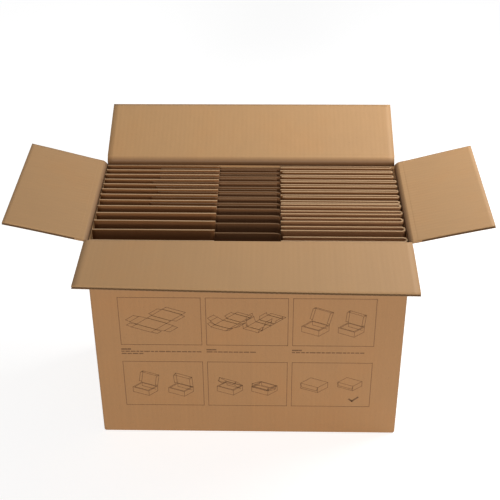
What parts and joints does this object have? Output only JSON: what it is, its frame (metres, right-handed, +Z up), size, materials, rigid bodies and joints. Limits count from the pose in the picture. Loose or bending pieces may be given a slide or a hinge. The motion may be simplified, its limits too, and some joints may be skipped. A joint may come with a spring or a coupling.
{
  "type": "shipping box",
  "caption": "Slotted corrugated shipping box standing open, with four hinged top flaps, packed with folded mailer blanks on edge.",
  "frame": {"origin": "under the middle of the box, on the surface that it stands on", "axes": "+Z up, +X along the long walls to the right, +Y from the printed front wall to the back wall"},
  "size_m": [0.7753, 0.5187, 0.4598],
  "materials": {
    "kraft_board": "uncoated brown kraft liner on corrugated board",
    "mailer_board": "uncoated brown kraft liner on thin corrugated board",
    "tape_film": "tan packing tape, satin",
    "brown_ink": "thin dark brown print on kraft"
  },
  "bodies": {
    "carton": {"carton_body": "kraft_board", "bottom_tape": "tape_film", "mailer_01": "mailer_board", "mailer_02": "mailer_board", "mailer_03": "mailer_board", "mailer_04": "mailer_board", "mailer_05": "mailer_board", "mailer_06": "mailer_board", "mailer_07": "mailer_board", "mailer_08": "mailer_board", "mailer_09": "mailer_board", "mailer_10": "mailer_board", "mailer_11": "mailer_board", "mailer_12": "mailer_board", "mailer_13": "mailer_board", "printed_frame_1": "brown_ink", "printed_frame_2": "brown_ink", "printed_frame_3": "brown_ink", "printed_frame_4": "brown_ink", "printed_frame_5": "brown_ink", "printed_frame_6": "brown_ink"},
    "front_flap": {"front_flap": "kraft_board"},
    "back_flap": {"back_flap": "kraft_board"},
    "left_flap": {"left_flap": "kraft_board"},
    "right_flap": {"right_flap": "kraft_board"}
  },
  "joints": [
    {"name": "front_flap_hinge", "type": "hinge", "parent": "carton", "child": "front_flap", "pos_m": [0, -0.132, 0.41], "axis": [-1, 0, 0], "range_deg": [-87, 178.7]},
    {"name": "back_flap_hinge", "type": "hinge", "parent": "carton", "child": "back_flap", "pos_m": [0, 0.132, 0.41], "axis": [1, 0, 0], "range_deg": [-107, 159.5]},
    {"name": "left_flap_hinge", "type": "hinge", "parent": "carton", "child": "left_flap", "pos_m": [-0.26, 0, 0.4057], "axis": [0, 1, 0], "range_deg": [-101, 166]},
    {"name": "right_flap_hinge", "type": "hinge", "parent": "carton", "child": "right_flap", "pos_m": [0.26, 0, 0.4057], "axis": [0, -1, 0], "range_deg": [-100.8, 166.2]}
  ]
}
